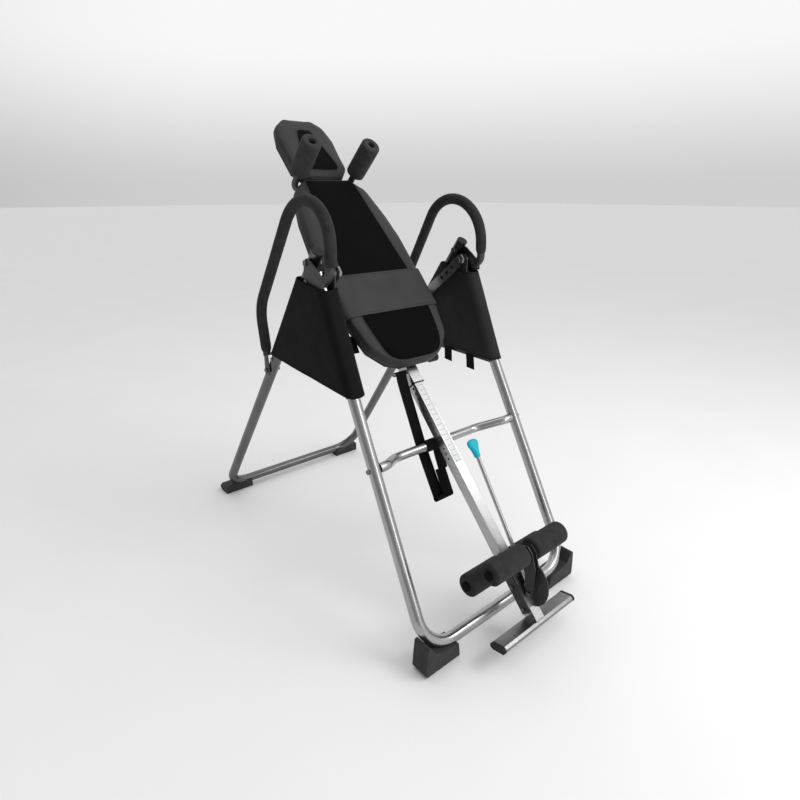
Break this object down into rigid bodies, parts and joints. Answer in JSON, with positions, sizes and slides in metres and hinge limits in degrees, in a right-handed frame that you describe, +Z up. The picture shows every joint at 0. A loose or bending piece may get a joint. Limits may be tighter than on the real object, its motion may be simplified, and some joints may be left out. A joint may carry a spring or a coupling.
{
  "type": "inversion table",
  "caption": "Folding A-frame inversion table with tilting padded bed, sliding boom, foam-roller ankle clamp, footrest, shoulder grips and foam-covered handlebars.",
  "frame": {"origin": "on the floor under the middle of the whole table", "axes": "+Z up; -Y towards the foot end (ankle rollers and footrest); +X towards the left hand of a person lying on the bed, the side of the pull pin"},
  "size_m": [0.682, 1.4404, 1.4509],
  "materials": {
    "steel_tube": "silver-grey paint, semi-gloss",
    "bright_steel": "bright plated",
    "fastener": "zinc plated",
    "dark_plate": "black powder coat",
    "black_plastic": "moulded, matte",
    "foam": "closed-cell foam sleeve, matte",
    "padding": "black upholstery over foam padding",
    "cloth": "black woven polyester",
    "webbing": "black woven webbing",
    "plywood": "black-stained board",
    "teal_plastic": "moulded teal plastic",
    "scale_film": "printed film",
    "spring_steel": "bright spring wire",
    "bushing": "natural nylon"
  },
  "bodies": {
    "front_stand": {"front_frame": "steel_tube", "front_feet": "black_plastic", "front_leg_plugs": "black_plastic", "crossbar": "steel_tube", "pivot_brackets": "bright_steel", "pivot_bushings": "bushing", "front_frame_bolts": "fastener", "side_cover_left": "cloth", "side_cover_right": "cloth", "tether_strap": "webbing"},
    "rear_stand": {"rear_frame": "steel_tube", "rear_feet": "black_plastic", "rear_leg_plugs": "black_plastic", "handlebar_left": "dark_plate", "handlebar_right": "dark_plate", "handlebar_grip_left": "foam", "handlebar_grip_right": "foam", "frame_hinge_bolts": "fastener", "rear_frame_bolts": "fastener"},
    "front_stay_pair": {"front_stays": "dark_plate"},
    "rear_stay_pair": {"rear_stays": "dark_plate"},
    "table": {"outer_boom": "steel_tube", "boom_end_caps": "black_plastic", "cross_beam": "steel_tube", "hinge_arms": "bright_steel", "pivot_axles": "fastener", "backrest_pad": "padding", "backboard": "plywood", "backrest_brackets": "dark_plate", "lumbar_belt": "cloth", "headrest_pad": "padding", "headrest_board": "plywood", "headrest_brackets": "dark_plate", "shoulder_bar": "steel_tube", "shoulder_grip_left": "foam", "shoulder_grip_right": "foam", "pin_housing": "dark_plate", "pin_spring": "spring_steel", "strap_anchor": "fastener"},
    "pull_pin_unit": {"pull_pin": "fastener", "pull_knob": "black_plastic"},
    "boom": {"inner_boom": "bright_steel", "height_scale": "scale_film", "clamp_bracket_right": "dark_plate", "clamp_bracket_left": "dark_plate", "rear_roller_axle": "fastener", "rear_axle_caps": "black_plastic", "clamp_bolts": "fastener", "footrest_bar": "dark_plate", "footrest_caps": "black_plastic", "footrest_bracket": "dark_plate"},
    "ankle_lever": {"clamp_arms": "dark_plate", "lever_rod": "bright_steel", "lever_knob": "teal_plastic", "front_roller_axle": "fastener", "front_axle_caps": "black_plastic"},
    "rear_roller_left_body": {"rear_roller_left": "foam"},
    "rear_roller_right_body": {"rear_roller_right": "foam"},
    "front_roller_left_body": {"front_roller_left": "foam"},
    "front_roller_right_body": {"front_roller_right": "foam"}
  },
  "joints": [
    {"name": "frame_fold", "type": "hinge", "parent": "front_stand", "child": "rear_stand", "pos_m": [0, -0.06016, 0.97931], "axis": [-1, 0, 0], "range_deg": [0, 57], "deforming": ["side_cover_left", "side_cover_right"]},
    {"name": "front_stay_swing", "type": "hinge", "parent": "front_stand", "child": "front_stay_pair", "pos_m": [0, -0.24099, 0.694], "axis": [1, 0, 0], "range_deg": [0, 51]},
    {"name": "rear_stay_swing", "type": "hinge", "parent": "rear_stand", "child": "rear_stay_pair", "pos_m": [0, 0.17696, 0.705], "axis": [-1, 0, 0], "range_deg": [0, 46]},
    {"name": "table_tilt", "type": "hinge", "parent": "front_stand", "child": "table", "pos_m": [0, -0.1128, 1.003], "axis": [-1, 0, 0], "range_deg": [0, 130], "deforming": ["tether_strap"]},
    {"name": "pin_pull", "type": "slide", "parent": "table", "child": "pull_pin_unit", "axis": [1, 0, 0], "range_m": [0, 0.012], "stiffness_N_per_m": 900, "springref_m": -0.012, "deforming": ["pin_spring"]},
    {"name": "boom_slide", "type": "slide", "parent": "table", "child": "boom", "axis": [0, 0.6769, 0.7361], "range_m": [-0.035, 0.245]},
    {"name": "ankle_lever_swing", "type": "hinge", "parent": "boom", "child": "ankle_lever", "pos_m": [0, -0.66792, 0.14815], "axis": [1, 0, 0], "range_deg": [0, 40]},
    {"name": "rear_roller_left_spin", "type": "hinge", "parent": "boom", "child": "rear_roller_left_body", "pos_m": [0, -0.57895, 0.20355], "axis": [1, 0, 0], "continuous": true},
    {"name": "front_roller_left_spin", "type": "hinge", "parent": "ankle_lever", "child": "front_roller_left_body", "pos_m": [0, -0.64494, 0.27509], "axis": [1, 0, 0], "continuous": true},
    {"name": "rear_roller_right_spin", "type": "hinge", "parent": "boom", "child": "rear_roller_right_body", "pos_m": [0, -0.57895, 0.20355], "axis": [1, 0, 0], "continuous": true},
    {"name": "front_roller_right_spin", "type": "hinge", "parent": "ankle_lever", "child": "front_roller_right_body", "pos_m": [0, -0.64494, 0.27509], "axis": [1, 0, 0], "continuous": true}
  ],
  "couplings": [
    {"joint": "front_stay_swing", "follows": "frame_fold", "ratio": 0.8757},
    {"joint": "rear_stay_swing", "follows": "frame_fold", "ratio": 0.7859}
  ]
}
